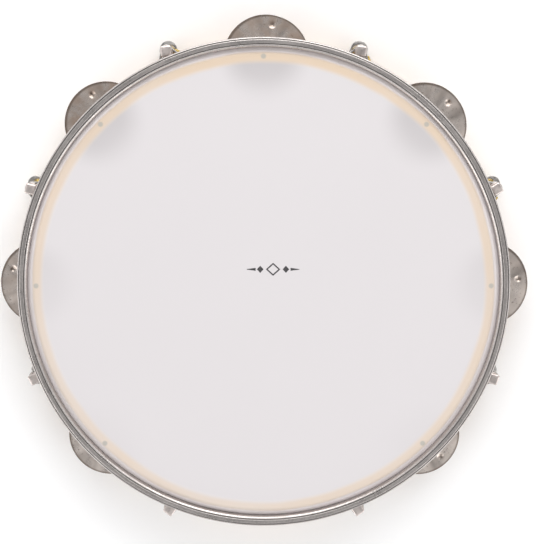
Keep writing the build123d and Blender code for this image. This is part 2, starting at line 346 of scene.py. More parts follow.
class Finish(Tree):
    """A procedural finish round one Principled shader."""

    def __init__(self, name, metallic=0.0, centre=(0.0, 0.0, 0.0), **uniform):
        self.material = bpy.data.materials.new(name)
        self.material.use_nodes = True
        super().__init__(self.material.node_tree)
        self.shader = self.group.nodes["Principled BSDF"]
        self.shader.inputs["Metallic"].default_value = metallic
        for label, value in uniform.items():
            self.shader.inputs[label.replace("_", " ")].default_value = value
        place = self.add("ShaderNodeTexCoord").outputs["Object"]
        offset = [-part for part in centre]
        self.place = self.add("ShaderNodeMapping", {"Vector": place, "Location": offset}).outputs[0]

    def noise(self, scale, detail=3.0, roughness=0.55, vector=None, w=None):
        """A noise value, even in all directions unless a vector is given."""
        inputs = {"Vector": vector or self.place, "Scale": scale}
        inputs.update({"Detail": detail, "Roughness": roughness})
        if w is not None:
            inputs["W"] = w
        dimensions = "3D" if w is None else "4D"
        return self.add("ShaderNodeTexNoise", inputs, noise_dimensions=dimensions).outputs["Fac"]

    def round_noise(self, along, across, detail=3.0, roughness=0.55):
        """Noise drawn out round the axis: features per radian along it, and per metre across it."""
        x, y, z = self.split(self.place)
        flat = self.joined(x, y)
        radius = self.length(flat)
        unit = self.add("ShaderNodeVectorMath", {0: flat}, operation="NORMALIZE").outputs[0]
        nx, ny, _ = self.split(self.scaled(unit, along))
        vector = self.joined(nx, ny, self.product(z, across))
        return self.noise(1.0, detail, roughness, vector, self.product(radius, across))

    def polar(self):
        """The distance from the axis and the angle round it."""
        x, y, _ = self.split(self.place)
        return self.length(self.joined(x, y)), self.math("ARCTAN2", y, x)

    def off_mark(self, ring, count, turn=0.0):
        """The distance to the nearest of some evenly spaced marks on a ring round the axis."""
        radius, angle = self.polar()
        angle = self.math("SUBTRACT", angle, turn)
        step = math.tau / count
        nearest = self.math("SNAP", self.math("ADD", angle, step / 2), step)
        side = self.math("SUBTRACT", angle, nearest)
        out = self.math("SUBTRACT", self.product(radius, self.math("COSINE", side)), ring)
        across = self.product(radius, self.math("SINE", side))
        return self.length(self.joined(out, across))

    def ramp(self, value, *stops):
        """A colour from a value, by stops of place and colour."""
        node = self.add("ShaderNodeValToRGB", {0: value})
        elements = node.color_ramp.elements
        while len(elements) < len(stops):
            elements.new(0.5)
        for element, (place, colour) in zip(elements, stops):
            element.position = place
            element.color = (*colour, 1)
        return node.outputs["Color"]

    def mix(self, factor, first, second, blend="MIX"):
        """Two colours mixed."""
        node = self.add("ShaderNodeMix", data_type="RGBA", blend_type=blend)
        for key, value in ((0, factor), (6, first), (7, second)):
            if isinstance(value, bpy.types.NodeSocket):
                self.group.links.new(value, node.inputs[key])
            elif key:
                node.inputs[key].default_value = (*value, 1)
            else:
                node.inputs[key].default_value = value
        return node.outputs[2]

    def close(self, colour, roughness, *bumps):
        """Joins the colour, the roughness and the bumps, each a height, a depth and a strength."""
        self.group.links.new(colour, self.shader.inputs["Base Color"])
        self.group.links.new(roughness, self.shader.inputs["Roughness"])
        normal = None
        for height, depth, strength in bumps:
            inputs = {"Height": height, "Distance": depth, "Strength": strength}
            if normal is not None:
                inputs["Normal"] = normal
            normal = self.add("ShaderNodeBump", inputs).outputs[0]
        if normal is not None:
            self.group.links.new(normal, self.shader.inputs["Normal"])
        return self.material


def tint(colour, factor):
    """A colour made lighter or darker."""
    return tuple(min(1.0, part * factor) for part in colour)


def wood_finish(colour):
    """Pale bent hardwood: long grain round the shell, plies on its edges, short dark pores."""
    f = Finish("bent_hardwood", IOR=1.45, Coat_Weight=0.25, Coat_Roughness=0.3)
    grain = f.round_noise(*WOOD_GRAIN, 5.0)
    pores = f.spread(f.round_noise(30.0, 2600.0, 2.0), 0.60, 0.72, 0.0, 1.0)
    base = f.ramp(grain, (0.3, tint(colour, 0.74)), (0.5, colour), (0.72, tint(colour, 1.12)))
    blotch = f.mix(f.noise(14.0), tint(colour, 0.86), tint(colour, 1.1))
    base = f.mix(0.35, base, blotch)
    base = f.mix(f.product(pores, 0.55), base, tint(colour, 0.42))
    rough = f.spread(grain, 0.2, 0.8, 0.5, 0.36)
    return f.close(base, rough, (grain, 0.3 * MM, 0.35), (pores, -0.2 * MM, 0.5))


def film_finish(settings, pin, plate, edge, rim):
    """Milky film: the shell's edge shows where it touches and pins show just below it; painted
    shade marks the jingles under it.
    """
    f = Finish("milky_film", IOR=1.4, Specular_IOR_Level=0.4)
    colour = settings.film
    y = f.split(f.place)[1]
    radius = f.polar()[0]
    cloud = f.noise(9.0, 4.0)
    fibre = f.noise(60.0, 5.0, 0.7)
    base = f.mix(cloud, tint(colour, 0.985), tint(colour, 1.01))
    base = f.mix(f.product(fibre, 0.08), base, tint(colour, 0.92))
    off_pin = f.off_mark(pin, BOLTS)
    hand_side = f.spread(f.math("DIVIDE", y, radius), -0.97, -0.93, 0.0, 1.0)
    # Painted shadow of the jingles seen through the film: soft, and darkest towards +Y and near the
    # shell.
    shade = f.product(
        f.spread(off_pin, plate - 16 * MM, plate + 5 * MM, 1.0, 0.0), hand_side,
        f.spread(y, -pin / 2, pin, 0.03, 0.32), f.spread(radius, pin - plate, edge, 0.55, 1.0),
    )
    base = f.mix(shade, base, settings.shade)
    wander = f.product(f.math("SUBTRACT", f.noise(14.0), 0.5), 4 * MM)
    wavy = f.math("ADD", radius, wander)
    contact = f.product(
        f.spread(wavy, edge - 1.8 * MM, edge + 2.2 * MM, 0.0, 1.0),
        f.spread(wavy, rim - 1.9 * MM, rim, 1.0, 0.1), f.spread(y, -pin, pin, 0.72, 1.0),
    )
    grain = f.round_noise(*WOOD_GRAIN, 4.0)
    wood = f.mix(grain, tint(settings.wood_through, 0.96), tint(settings.wood_through, 1.05))
    # Painted light: the film is lightened towards its collar, standing in for the shine on its bend
    # and lifting the shade next to the hoop.
    base = f.mix(f.spread(radius, rim - 2 * MM, rim, 0.0, 1.0), base, tint(colour, 1.5))
    base = f.mix(f.product(contact, f.spread(cloud, 0.3, 0.7, 0.72, 1.0)), base, wood)
    dot = f.spread(off_pin, 1.0 * MM, 2.2 * MM, 0.8, 0.0)
    base = f.mix(f.product(dot, hand_side), base, settings.pin_through)
    rough = f.spread(fibre, 0.3, 0.7, 0.34, 0.46)
    grit = f.noise(1800.0, 2.0)
    cover = f.spread(radius, edge - 2 * MM, edge, 0.94, 0.97)
    f.group.links.new(cover, f.shader.inputs["Alpha"])
    return f.close(base, rough, (grit, 0.03 * MM, 0.25), (cloud, 0.6 * MM, 0.12))


def rolled_metal(name, colour, streaks=1.0, smoothness=0.30, bands=()):
    """Rolled metal: lines along the hoop, a fine pebbled skin, cloudy stains and darkened bands,
    which the hoop uses for painted shade in its grooves.
    """
    f = Finish(name, metallic=1.0)
    lines = f.round_noise(5.0, 1300.0, 4.0, 0.7)
    cloud = f.noise(75.0, 4.0, 0.6)
    pebbles = f.noise(950.0, 2.0, 0.5)
    dark, bright = tint(colour, 1 - 0.34 * streaks), tint(colour, 1.12)
    base = f.ramp(lines, (0.28, dark), (0.5, colour), (0.75, bright))
    base = f.mix(f.spread(pebbles, 0.42, 0.62, 0.0, 0.5), base, tint(colour, 0.62))
    base = f.mix(f.spread(cloud, 0.35, 0.7, 0.0, 0.4), base, tint(colour, 0.74))
    # Each band darkens towards its ring; on the hoop these are painted shade in the grooves and a
    # darker crown.
    for ring, half_width, darkening in bands:
        off_ring = f.math("ABSOLUTE", f.math("SUBTRACT", f.polar()[0], ring))
        band_darkening = f.spread(off_ring, half_width * 0.6, half_width, darkening, 0.0)
        base = f.mix(band_darkening, base, tint(colour, 0.22))
    rough = f.spread(cloud, 0.3, 0.7, smoothness - 0.05, smoothness + 0.14)
    bumps = (lines, 0.1 * MM, 0.5 * streaks), (pebbles, 0.16 * MM, 0.55), (cloud, 0.5 * MM, 0.25)
    return f.close(base, rough, *bumps)


def plated_metal(name, colour, smoothness=0.25, grain=300.0):
    """Plated metal: a clouded surface with worn, darker patches and hardly any relief."""
    f = Finish(name, metallic=1.0)
    cloud = f.noise(grain, 3.0, 0.55)
    worn = f.spread(f.noise(grain * 2.6, 2.0), 0.52, 0.72, 0.0, 0.5)
    base = f.ramp(cloud, (0.3, tint(colour, 0.78)), (0.55, colour), (0.8, tint(colour, 1.1)))
    base = f.mix(worn, base, tint(colour, 0.6))
    rough = f.spread(cloud, 0.3, 0.7, smoothness, smoothness + 0.16)
    return f.close(base, rough, (cloud, 0.06 * MM, 0.15), (worn, -0.03 * MM, 0.2))


def jingle_finish(name, centre, settings, tarnish, turn):
    """Pressed plate: turned rings, painted light and dark sectors round its hole for the reflection
    of those rings, tarnish and painted shade in the dimples.
    """
    f = Finish(name, metallic=1.0, centre=centre)
    colour = settings.nickel
    # Painted reflection: light and dark sectors round the hole stand for the shine off the turned
    # rings.
    reflection_sectors = f.round_noise(1.9, 22.0, 2.0)
    rings = f.round_noise(1.2, 2400.0, 3.0)
    cloud = f.noise(110.0, 5.0, 0.62)
    brown = (colour[0] * 0.56, colour[1] * 0.47, colour[2] * 0.41)
    base = f.ramp(reflection_sectors, (0.34, tint(colour, 0.58)), (0.5, colour), (0.66, tint(colour, 1.2)))
    base = f.mix(f.spread(cloud, 0.34, 0.66, tarnish * 0.2, tarnish), base, brown)
    spots = f.spread(f.noise(620.0, 2.0), 0.63, 0.74, 0.0, 0.6)
    base = f.mix(spots, base, tint(brown, 0.5))
    # Painted shade in the dimples.
    off_dimple = f.off_mark(settings.dimple_ring, settings.dimples, turn)
    darkening = f.spread(off_dimple, settings.dimple * 0.3, settings.dimple * 0.95, 0.7, 0.0)
    base = f.mix(darkening, base, tint(brown, 0.35))
    edge = f.spread(f.polar()[0], settings.rim - 1.5 * MM, settings.rim - 0.3 * MM, 0.0, 0.75)
    base = f.mix(edge, base, tint(brown, 0.5))
    rough = f.spread(cloud, 0.3, 0.7, 0.22, 0.4)
    return f.close(base, rough, (rings, 0.05 * MM, 0.3), (cloud, 0.6 * MM, 0.3))


def ink_finish(colour):
    """Matt printing ink with thin places."""
    f = Finish("printed_ink", IOR=1.45)
    cover = f.noise(900.0, 3.0)
    base = f.ramp(cover, (0.3, colour), (0.75, tint(colour, 2.0)))
    return f.close(base, f.spread(cover, 0.3, 0.7, 0.5, 0.7), (cover, 0.01 * MM, 0.4))


# ---------------- settings

def colour_setting(name, thing, default):
    return bpy.props.FloatVectorProperty(
        name=name, description=f"Colour of the {thing}", default=default, subtype="COLOR", size=3,
        min=0, max=1,
    )


def length_setting(name, description, millimetres):
    return bpy.props.FloatProperty(
        name=name, description=description, default=millimetres * MM, unit="LENGTH", min=0,
        precision=5,
    )


def angle_setting(name, description, degrees):
    return bpy.props.FloatProperty(
        name=name, description=description, default=math.radians(degrees), subtype="ANGLE"
    )


def count_setting(name, description, default):
    return bpy.props.IntProperty(name=name, description=description, default=default, min=3)


class ShellSettings(bpy.types.PropertyGroup):
    """The wooden shell"""

    wood: colour_setting("Wood", "bent hardwood", (0.70, 0.47, 0.27))


class HeadSettings(bpy.types.PropertyGroup):
    """The head and its ornament"""

    film: colour_setting("Film", "milky film", (0.65, 0.62, 0.625))
    shade: colour_setting("Shade", "film above a jingle", (0.22, 0.20, 0.20))
    wood_through: colour_setting("Edge", "film on the bearing edge", (0.655, 0.525, 0.40))
    pin_through: colour_setting("Pin through film", "film above a pin", (0.40, 0.39, 0.36))
    ink: colour_setting("Ink", "printed ornament", (0.035, 0.033, 0.034))
    ornament: length_setting("Ornament", "Width of the printed ornament", 34)
    ornament_right: length_setting("Ornament right", "Place right of the axis", 6.1)
    ornament_up: length_setting("Ornament up", "Place above the axis", 10.8)
    bend: length_setting("Bend", "Radius of the film's turn over the bearing edge", 3.4)
    slope: angle_setting("Slope", "Slope of the film between the shell and its collar", 42)


class HoopSettings(bpy.types.PropertyGroup):
    """The tension hoop and the flesh hoop"""

    steel: colour_setting("Steel", "rolled hoop", (0.60, 0.555, 0.53))
    aluminium: colour_setting("Aluminium", "flesh hoop", (0.62, 0.62, 0.63))
    bead: length_setting("Bead", "Width of the rounded bead", 6.4)
    band: length_setting("Band", "Thickness of the straight band", 1.8)
    groove: length_setting("Groove", "Depth of the fine grooves", 0.45)
    segments: count_setting("Segments", "Faces round the hoop", 288)


class EarSettings(bpy.types.PropertyGroup):
    """The strap ears on the hoop"""

    zinc: colour_setting("Zinc", "plated straps", (0.44, 0.42, 0.40))
    braze: colour_setting("Braze", "brazing", (0.55, 0.40, 0.13))
    strap: length_setting("Strap", "Thickness of the strap", 1.4)
    bore: length_setting("Bore", "Inner radius of the strap's bend", 2.9)
    foot: length_setting("Foot", "Length of a foot along the band", 2.4)


class BoltSettings(bpy.types.PropertyGroup):
    """The tension bolts"""

    steel: colour_setting("Steel", "polished bolts", (0.66, 0.59, 0.555))
    flats: length_setting("Flats", "Width of the square head across its flats", 6.6)
    pitch: length_setting("Pitch", "Pitch of the thread", 0.8)
    depth: length_setting("Depth", "Depth of the thread", 0.42)


class BracketSettings(bpy.types.PropertyGroup):
    """The brackets, nuts and screws"""

    yellow: colour_setting("Yellow zinc", "nuts", (0.58, 0.44, 0.18))
    flats: length_setting("Flats", "Width of a nut across its flats", 8)
    shoulder: length_setting("Shoulder", "Radius of a nut's shoulder", 3.7)
    edge: length_setting("Edge", "Radius of the bracket's edges", 0.3)


class JingleSettings(bpy.types.PropertyGroup):
    """The jingles and their pins"""

    nickel: colour_setting("Nickel", "clean jingle plates", (0.74, 0.665, 0.61))
    wire: colour_setting("Wire", "pins", (0.42, 0.41, 0.40))
    rim: length_setting("Rim", "Radius of the plate", 27.5)
    sheet: length_setting("Sheet", "Thickness of the plate", 0.8)
    dish: length_setting("Dish", "Rise of the plate towards its cup", 0.9)
    hole: length_setting("Hole", "Radius of the hole", 4.2)
    cup: length_setting("Cup", "Radius of the cup's top", 8.5)
    foot: length_setting("Cup foot", "Radius of the cup's foot", 11.5)
    dimple_ring: length_setting("Dimple ring", "Radius that the dimples lie on", 21.6)
    dimple: length_setting("Dimple", "Radius of a dimple", 2.8)
    dimple_depth: length_setting("Dimple depth", "Depth of a dimple", 1.0)
    wave: length_setting("Wave", "Height of the plate's unevenness", 0.7)
    dimples: count_setting("Dimples", "Dimples in a plate", 4)


class StageSettings(bpy.types.PropertyGroup):
    """The floor, the lights and the camera"""

    floor: colour_setting("Floor", "floor", (0.93, 0.93, 0.93))
    tilt: angle_setting("Tilt", "How far the camera leans off the drum's axis", 7.3)
    distance: length_setting("Distance", "Distance from the camera to the hoop", 1000)
    width: length_setting("Width", "Width that the view takes in at the hoop", 350)
    sideways: length_setting("Sideways", "Aim to the right of the drum's axis", 5.4)
    upwards: length_setting("Upwards", "Aim above the drum's axis", 9.4)


SETTINGS = {
    "drum_shell": ShellSettings,
    "drum_head": HeadSettings,
    "drum_hoop": HoopSettings,
    "drum_ears": EarSettings,
    "drum_bolts": BoltSettings,
    "drum_brackets": BracketSettings,
    "drum_jingles": JingleSettings,
    "drum_stage": StageSettings,
}


# ---------------- shape trees

def swept_ring():
    """A closed section carried round the drum."""
    t = Shape("Swept ring", ring_radius="Float", segments="Int")
    return t.finish(t.sweep(t.circle(t["segments"], t["ring_radius"]), t.base))


def round_the_drum():
    """One part repeated for every bolt."""
    t = Shape("Round the drum", count="Int", first_angle="Float", pitch="Float")
    return t.finish(t.round_axis(t.base))


def jingle_plate():
    """A plate's section swept round its hole, then made uneven, punched and put in place."""
    t = Shape(
        "Jingle plate", segments="Int", dimples="Int", dimple_ring="Float", dimple_radius="Float",
        dimple_depth="Float", dimple_turn="Float", wave="Float", seed="Float", roll="Float",
        place="Vector",
    )
    plate = t.sweep(t.circle(t["segments"], t["dimple_ring"]), t.base)
    here = t.geo("InputPosition")
    x, y, _ = t.split(here)
    ring = {"Vertices": t["dimples"], "Radius": t["dimple_ring"]}
    marks = t.geo("MeshCircle", ring)
    marks = t.moved(marks, rotation=t.joined(z=t["dimple_turn"]))
    nearest = {0: marks, "Sample Position": t.joined(x, y)}
    away = t.add("GeometryNodeProximity", nearest, target_element="POINTS").outputs["Distance"]
    depth = t.product(t["dimple_depth"], -1.0)
    punched = t.spread(away, 0.0, t["dimple_radius"], depth, 0.0)
    uneven = {"Vector": here, "W": t["seed"], "Scale": 62.0, "Detail": 1.0}
    noise = t.add("ShaderNodeTexNoise", uneven, noise_dimensions="4D").outputs[0]
    waves = t.product(t.math("SUBTRACT", noise, 0.5), t["wave"])
    lift = t.joined(z=t.math("ADD", punched, waves))
    shaped = t.geo("SetPosition", {"Geometry": plate, "Offset": lift})
    rolled = t.joined(x=t["roll"])
    return t.finish(t.moved(shaped, rotation=rolled, translation=t["place"]))


def strap_ears():
    """A strap swept along its bend and repeated for every bolt."""
    t = Shape(
        "Strap ears", thickness="Float", height="Float", edge="Float", lift="Float", count="Int",
        first_angle="Float", pitch="Float",
    )
    bar = {"Width": t["thickness"], "Height": t["height"]}
    section = t.geo("CurvePrimitiveQuadrilateral", bar)
    rounding = {"Curve": section, "Radius": t["edge"], "Count": 3}
    section = t.geo("FilletCurve", rounding, mode="POLY")
    strap = t.sweep(t.base, section, capped=True)
    return t.finish(t.round_axis(t.moved(strap, translation=t.joined(z=t["lift"]))))


def braze_beads():
    """Uneven beads of braze, one on every point of a base mesh."""
    t = Shape("Braze beads", width="Float", height="Float", seed="Int")
    ball = t.geo("MeshIcoSphere", {"Radius": 1.0, "Subdivisions": 4})
    size = t.joined(t["width"], t["width"], t["height"])
    ball = t.moved(ball, scale=size)
    sizes = {2: 0.8, 3: 1.1, "Seed": t["seed"]}
    vary = t.add("FunctionNodeRandomValue", sizes, data_type="FLOAT").outputs[1]
    copying = {"Points": t.base, "Instance": ball, "Scale": vary}
    copies = t.geo("InstanceOnPoints", copying)
    beads = t.geo("RealizeInstances", {"Geometry": copies})
    here = t.geo("InputPosition")
    rough = {"Vector": here, "Scale": 900.0, "Detail": 2.0}
    noise = t.add("ShaderNodeTexNoise", rough).outputs[0]
    push = t.product(t.math("SUBTRACT", noise, 0.5), t["width"])
    normal = t.geo("InputNormal")
    beads = t.add("GeometryNodeSetPosition", {"Geometry": beads, "Offset": t.scaled(normal, push)})
    return t.finish(beads.outputs[0])


def threaded_rod():
    """A core with a ridge wound round it, standing up from z = 0."""
    t = Shape("Threaded rod", radius="Float", pitch="Float", depth="Float", length="Float")
    core_radius = t.math("SUBTRACT", t["radius"], t["depth"])
    turns = t.math("DIVIDE", t["length"], t["pitch"])
    ridge_share = 0.9
    ridge_radius = t.math("MULTIPLY_ADD", t["depth"], -ridge_share, t["radius"])
    winding = {
        "Resolution": 20, "Rotations": turns, "Start Radius": ridge_radius,
        "End Radius": ridge_radius, "Height": t["length"],
    }
    spiral = t.geo("CurveSpiral", winding)
    section = t.circle(3, t.product(t["depth"], ridge_share))
    ridge = t.sweep(spiral, section, capped=True)
    rod = {"Vertices": 32, "Radius": core_radius, "Depth": t["length"]}
    core = t.geo("MeshCylinder", rod)
    core = t.moved(core, translation=t.joined(z=t.product(t["length"], 0.5)))
    both = t.add("GeometryNodeJoinGeometry")
    for part in (core, ridge):
        t.group.links.new(part, both.inputs[0])
    return t.finish(both.outputs[0])


# ---------------- pieces

class DRUM_OT_shell(bpy.types.Operator):
    """Finish the wooden shell"""

    bl_idname = "drum.shell"
    bl_label = "Shell"

    def execute(self, context):
        scene = context.scene
        frame["nodes"]["shell"].data.materials[0] = wood_finish(scene.drum_shell.wood)
        return {"FINISHED"}


class DRUM_OT_head(bpy.types.Operator):
    """Make the film head, its printed ornament and finish the flesh hoop"""

    bl_idname = "drum.head"
    bl_label = "Head"

    def execute(self, context):
        scene = context.scene
        settings = scene.drum_head
        low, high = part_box("head_film")
        shell_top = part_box("shell")[1].z
        thickness = high.z - shell_top
        rim = outer_radius("shell")
        centre = (rim - settings.bend + thickness, shell_top - settings.bend)
        clear = 0.02 * MM
        top = self.film_side(settings, centre, settings.bend + thickness, high.x, low.z)
        under = self.film_side(settings, centre, settings.bend + clear, high.x - thickness, low.z)
        film = shown("drumhead", soften(turned(top + under[::-1], 256)))
        pin = middle("jingle_pin_1").x
        finish = film_finish(
            settings, pin, outer_radius("upper_jingle_1"), rim - SHELL_WALL, rim
        )
        dress(film, "root", finish, "drumhead_film", "head_film")
        self.ornament(settings, high.z)
        flesh = frame["nodes"]["flesh_hoop"]
        metal = rolled_metal("flesh_hoop_aluminium_finish", scene.drum_hoop.aluminium, 0.6)
        flesh.data.materials[0] = metal
        return {"FINISHED"}

    def film_side(self, settings, centre, radius, collar, foot):
        """One side of the film's section, from the axis to the foot of its collar."""
        slope = math.degrees(settings.slope)
        rings = 12
        flat = [(centre[0] * i / rings, centre[1] + radius) for i in range(rings)]
        bend = arc(centre, radius, 90, 90 - slope, 8)
        start, height = bend[-1]
        collar_top = height - (collar - start) * math.tan(settings.slope)
        return flat + bend + [(collar, collar_top), (collar, foot)]

    def ornament(self, settings, film_top):
        """A framed lozenge between two small ones and two tapering bars."""
        half = settings.ornament / 2
        height = half / 4
        ink = 0.04 * MM
        line = 0.9 * MM

        def lozenge(centre, wide, tall, z):
            quarters = (0, math.pi / 2, math.pi, 1.5 * math.pi)
            return [Vector((centre + wide * math.cos(a), tall * math.sin(a), z)) for a in quarters]

        def slab(corners):
            levels = (film_top, film_top + ink)
            return loft([[Vector((x, y, level)) for x, y in corners] for level in levels])

        width = height * 1.1
        inner = (width - line * 1.4, height - line * 1.3)
        frame_loops = [
            lozenge(0, width, height, film_top),
            lozenge(0, width, height, film_top + ink),
            lozenge(0, *inner, film_top + ink),
            lozenge(0, *inner, film_top),
        ]
        parts = [loft(frame_loops, closed=True)]
        for side in (-1, 1):
            small = lozenge(side * height * 1.95, height * 0.5, height * 0.55, 0)
            parts.append(slab([(p.x, p.y) for p in small]))
            start = side * height * 2.65
            parts.append(slab([
                (start, -height * 0.22), (side * half, -height * 0.04),
                (side * half, height * 0.04), (start, height * 0.22),
            ]))
        mesh = tidy(joined_meshes(*parts))
        mesh.transform(Matrix.Translation((settings.ornament_right, settings.ornament_up, 0)))
        piece = shown("head_ornament", mesh)
        dress(piece, "root", ink_finish(settings.ink), "drumhead_film")


class DRUM_OT_hoop(bpy.types.Operator):
    """Make the rolled tension hoop"""

    bl_idname = "drum.hoop"
    bl_label = "Tension hoop"

    def execute(self, context):
        scene = context.scene
        settings = scene.drum_hoop
        low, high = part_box("tension_hoop")
        half = settings.bead / 2
        edge = 0.9 * MM
        chamfer = 0.3 * MM
        rise = 2.4 * MM
        shoulder = high.z - rise
        bead_low = high.z - 6.5 * MM
        crown = outer_radius("tension_hoop") - half
        band_out = half - BEAD_LIP
        band_in = band_out - settings.band
        grooves = (1.9 * MM, -1.3 * MM)
        groove_width = 0.3 * MM
        # Painted shade: the fine grooves are darkened almost to black; the crown between them is a
        # little darker.
        groove_shade, crown_darkening = 0.9, 0.18

        def crown_height(out):
            """The bead's top: an even crown with a fine groove near each edge."""
            height = shoulder + rise * max(0.0, 1 - abs(out / half) ** 3.2) ** (1 / 2.4)
            dips = [math.exp(-(((out - place) / groove_width) ** 2)) for place in grooves]
            return height - settings.groove * max(dips)

        steps = 64
        top = [half * math.cos(math.pi * i / steps) for i in range(steps + 1)]
        outline = [(out, crown_height(out)) for out in top]
        outline += arc((edge - half, bead_low + edge), edge, 180, 270, 4)
        outline += [(band_in, bead_low), (band_in, low.z + chamfer), (band_in + chamfer, low.z)]
        outline += [(band_out - chamfer, low.z), (band_out, low.z + chamfer), (band_out, bead_low)]
        outline += arc((half - edge, bead_low + edge), edge, 270, 360, 4)
        curve = outline_curve("hoop_section", outline)
        darkened_bands = [(crown + place, 1.5 * groove_width, groove_shade) for place in grooves]
        darkened_bands.append((crown + sum(grooves) / 2, (grooves[0] - grooves[1]) / 2, crown_darkening))
        metal = rolled_metal("rolled_hoop_steel", settings.steel, bands=darkened_bands)
        piece = swept_ring().run(
            "rolled_hoop", curve, ring_radius=crown, segments=settings.segments, material=metal
        )
        soften(tidy(piece.data))
        dress(piece, "tension_hoop", metal, "hoop_steel", "tension_hoop")
        return {"FINISHED"}


class DRUM_OT_ears(bpy.types.Operator):
    """Bend the strap ears round the bolts and braze their feet to the hoop"""

    bl_idname = "drum.ears"
    bl_label = "Ears"

    def execute(self, context):
        scene = context.scene
        settings = scene.drum_ears
        low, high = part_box("hoop_ears")
        axis = bolt_axis(1).to_2d().length
        band = outer_radius("tension_hoop") - BEAD_LIP
        line = settings.bore + settings.strap / 2
        clear = 0.1 * MM
        foot_out = band + settings.strap / 2 + clear
        knee = 6.4 * MM
        sole = knee + settings.foot
        bend = arc((axis, 0), line, -90, 90, 24)
        sag = band - math.sqrt(band ** 2 - sole ** 2)
        path = [(foot_out - sag, -sole), (foot_out, -knee), *bend]
        path += [(foot_out, knee), (foot_out - sag, sole)]
        curve = outline_curve("ear_path", [(x, -y) for x, y in path], cyclic=False)
        metal = plated_metal("ear_zinc", settings.zinc)
        piece = strap_ears().run(
            "strap_ears", curve, thickness=settings.strap, height=high.z - low.z, edge=0.35 * MM,
            lift=(low.z + high.z) / 2, count=BOLTS, first_angle=PITCH / 2, pitch=PITCH,
            material=metal,
        )
        soften(tidy(piece.data))
        dress(piece, "tension_hoop", metal, "zinc_steel", "hoop_ears")
        feet = bpy.data.meshes.new("braze_places")
        places = []
        for number in range(BOLTS):
            turn = Matrix.Rotation((number + 0.5) * PITCH, 3, "Z")
            for out, side in BRAZE_SPOTS:
                places.append(turn @ Vector((band + out * MM, side * MM, (low.z + high.z) / 2)))
        feet.from_pydata(places, [], [])
        brass = plated_metal("braze_brass", settings.braze, 0.35, 700.0)
        beads = braze_beads().run(
            "braze_beads", feet, width=1.25 * MM, height=2.9 * MM, seed=4, material=brass
        )
        soften(tidy(beads.data), 60)
        dress(beads, "tension_hoop", brass, "brazing_brass", "ear_brazing")
        return {"FINISHED"}


class DRUM_OT_bolts(bpy.types.Operator):
    """Make the square-head tension bolts with their threads"""

    bl_idname = "drum.bolts"
    bl_label = "Bolts"

    def execute(self, context):
        scene = context.scene
        settings = scene.drum_bolts
        metal = plated_metal("bolt_polished_steel", settings.steel, 0.3, 200.0)
        rod = threaded_rod()
        clear = 0.05 * MM
        head_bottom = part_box("hoop_ears")[1].z + clear
        for number in range(1, BOLTS + 1):
            name = f"tension_bolt_{number}"
            low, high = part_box(name)
            axis = bolt_axis(number).to_2d()
            turn = (number - 0.5) * PITCH + math.radians(HEAD_TURNS[number - 1])
            place = Matrix.Translation((axis.x, axis.y, 0)) @ Matrix.Rotation(turn, 4, "Z")
            thread = rod.run(
                "thread", bpy.data.meshes.new("thread_base"), radius=THREAD_RADIUS,
                pitch=settings.pitch, depth=settings.depth, length=head_bottom - low.z,
                material=metal,
            )
            thread.data.transform(Matrix.Translation((0, 0, low.z)))
            mesh = joined_meshes(thread.data, self.head(settings, head_bottom, high.z))
            bpy.data.objects.remove(thread)
            mesh.transform(place)
            piece = shown(f"square_head_bolt_{number}", soften(tidy(mesh), 30))
            dress(piece, name, metal, "bolt_steel", name)
        return {"FINISHED"}

    def head(self, settings, bottom, top):
        """A round flange and a crowned square head with worn corners."""
        flange = 3.9 * MM
        edge = 0.25 * MM
        flange_top = bottom + 0.95 * MM
        corners = 4.35 * MM
        loops = [
            round_loop(flange - edge, bottom),
            round_loop(flange, bottom + edge),
            round_loop(flange, flange_top - edge),
            round_loop(flange - edge, flange_top),
            sided_loop(settings.flats, corners, flange_top, 4),
        ]
        # The crown, in millimetres: off the flats, off the corners, and down from the top.
        crown = ((0, 0, 0.6), (0.3, 0.2, 0.35), (0.9, 0.6, 0.1), (1.6, 1.1, 0))
        for off_flats, off_corners, down in crown:
            loops.append(sided_loop(
                settings.flats - off_flats * MM, corners - off_corners * MM, top - down * MM, 4
            ))
        return loft(loops)


